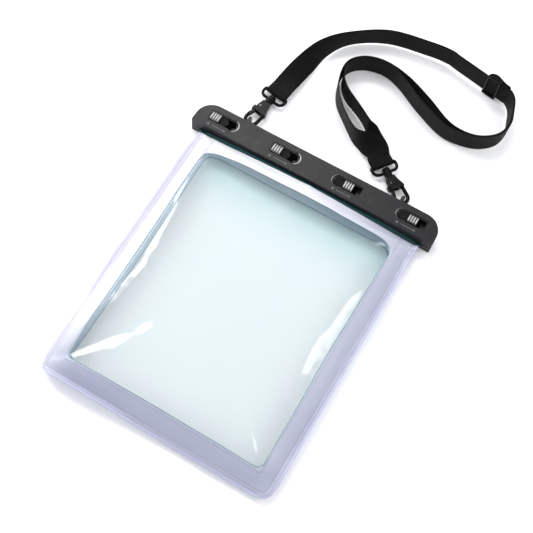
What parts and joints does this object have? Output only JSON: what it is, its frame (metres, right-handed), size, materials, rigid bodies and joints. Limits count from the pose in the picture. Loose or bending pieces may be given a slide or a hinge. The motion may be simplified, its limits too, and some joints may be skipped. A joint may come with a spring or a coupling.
{
  "type": "dry bag",
  "caption": "Clear waterproof pouch with a welded milky border, closed by a rigid clamp bar with sliding latches, on a webbing shoulder strap with snap hooks.",
  "frame": {"origin": "centre of the back rail's flat back face, on the clamp's middle", "axes": "+X along the clamp, +Y from the pouch towards the strap, +Z out of the front face; the bag lies on its back"},
  "size_m": [0.2436, 0.4373, 0.0265],
  "materials": {
    "cover_plastic": "satin moulded, fine grain",
    "rail_plastic": "satin moulded",
    "latch_plastic": "gloss moulded",
    "hook_plastic": "semi-gloss moulded",
    "pin_steel": "plain",
    "seal_rubber": "translucent grey",
    "clear_film": "clear glossy film with a faint teal tint",
    "milky_border": "milky satin film with a faint lavender tint",
    "webbing": "woven"
  },
  "bodies": {
    "pouch": {"back_rail": "rail_plastic", "seal_gasket": "seal_rubber", "back_hem": "clear_film", "front_border": "milky_border", "front_window": "clear_film", "back_border": "milky_border", "back_window": "clear_film", "strap_webbing": "webbing", "hook_left_eye": "hook_plastic", "hook_right_eye": "hook_plastic"},
    "front_clamp": {"front_cover": "cover_plastic", "front_rail": "rail_plastic", "front_hem": "clear_film"},
    "latch_1": {"latch_slider_1": "latch_plastic"},
    "latch_2": {"latch_slider_2": "latch_plastic"},
    "latch_3": {"latch_slider_3": "latch_plastic"},
    "latch_4": {"latch_slider_4": "latch_plastic"},
    "hook_left": {"hook_left_body": "hook_plastic", "hook_left_pin": "pin_steel"},
    "hook_left_lever": {"hook_left_gate": "hook_plastic"},
    "hook_right": {"hook_right_body": "hook_plastic", "hook_right_pin": "pin_steel"},
    "hook_right_lever": {"hook_right_gate": "hook_plastic"},
    "strap_adjuster": {"strap_slider": "hook_plastic", "strap_end_loop": "webbing"}
  },
  "joints": [
    {"name": "clamp_lift", "type": "slide", "parent": "pouch", "child": "front_clamp", "axis": [0, 0, 1], "range_m": [0, 0.022]},
    {"name": "latch_1_slide", "type": "slide", "parent": "front_clamp", "child": "latch_1", "axis": [1, 0, 0], "range_m": [0, 0.007]},
    {"name": "latch_2_slide", "type": "slide", "parent": "front_clamp", "child": "latch_2", "axis": [1, 0, 0], "range_m": [0, 0.007]},
    {"name": "latch_3_slide", "type": "slide", "parent": "front_clamp", "child": "latch_3", "axis": [1, 0, 0], "range_m": [0, 0.007]},
    {"name": "latch_4_slide", "type": "slide", "parent": "front_clamp", "child": "latch_4", "axis": [1, 0, 0], "range_m": [0, 0.007]},
    {"name": "hook_left_swivel", "type": "hinge", "parent": "pouch", "child": "hook_left", "pos_m": [-0.076, 0.01985, 0.0045], "axis": [0.165, 0.9863, 0], "range_deg": [-10, 10]},
    {"name": "hook_left_gate_hinge", "type": "hinge", "parent": "hook_left", "child": "hook_left_lever", "pos_m": [-0.07568, 0.03754, 0.0045], "axis": [0, 0, 1], "range_deg": [0, 22]},
    {"name": "hook_right_swivel", "type": "hinge", "parent": "pouch", "child": "hook_right", "pos_m": [0.076, 0.01985, 0.0045], "axis": [-0.809, 0.5878, 0], "range_deg": [-10, 10]},
    {"name": "hook_right_gate_hinge", "type": "hinge", "parent": "hook_right", "child": "hook_right_lever", "pos_m": [0.06031, 0.02803, 0.0045], "axis": [0, 0, 1], "range_deg": [0, 22]},
    {"name": "adjuster_slide", "type": "slide", "parent": "pouch", "child": "strap_adjuster", "axis": [-0.9816, 0.1908, 0], "range_m": [0, 0.015]}
  ]
}
